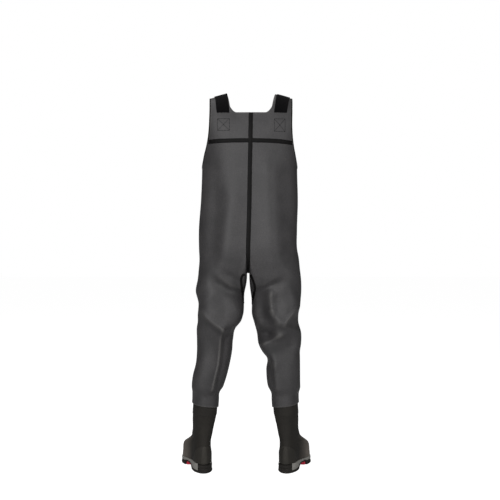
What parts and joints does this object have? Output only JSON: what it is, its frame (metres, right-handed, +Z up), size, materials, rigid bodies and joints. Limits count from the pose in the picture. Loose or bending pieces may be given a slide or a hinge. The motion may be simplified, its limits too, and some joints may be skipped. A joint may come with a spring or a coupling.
{
  "type": "chest waders",
  "caption": "Neoprene chest waders with taped seams, shoulder straps and rubber boots welded to the legs, worn shape with feet apart, open at the chest and armholes.",
  "frame": {"origin": "on the floor, under the middle of the whole part's box", "axes": "+Z up, +X to the left leg's side, +Y to the back, so the toes point to -Y"},
  "size_m": [0.532, 0.3386, 1.5326],
  "materials": {
    "grey_neoprene": "matt knit over closed-cell foam rubber",
    "black_seam_tape": "smooth bonded tape",
    "black_elastic": "woven",
    "dark_boot_rubber": "satin",
    "black_sole_rubber": "matt",
    "grey_midsole_foam": "matt",
    "red_insert_rubber": "satin",
    "dark_insole_felt": "felt"
  },
  "bodies": {
    "root": {"neoprene_torso": "grey_neoprene", "neoprene_leg_left": "grey_neoprene", "neoprene_leg_right": "grey_neoprene", "centre_back_tape": "black_seam_tape", "yoke_tape_left": "black_seam_tape", "yoke_tape_right": "black_seam_tape", "gusset_tape_left": "black_seam_tape", "gusset_tape_right": "black_seam_tape", "armhole_binding_left": "black_seam_tape", "armhole_binding_right": "black_seam_tape", "shoulder_strap_left": "black_elastic", "shoulder_strap_right": "black_elastic", "boot_upper_left": "dark_boot_rubber", "boot_upper_right": "dark_boot_rubber", "heel_counter_left": "dark_boot_rubber", "heel_counter_right": "dark_boot_rubber", "insole_left": "dark_insole_felt", "insole_right": "dark_insole_felt", "midsole_left": "grey_midsole_foam", "midsole_right": "grey_midsole_foam", "heel_block_left": "black_sole_rubber", "heel_block_right": "black_sole_rubber", "outsole_left": "black_sole_rubber", "outsole_right": "black_sole_rubber", "arch_insert_left": "red_insert_rubber", "arch_insert_right": "red_insert_rubber"}
  },
  "joints": []
}
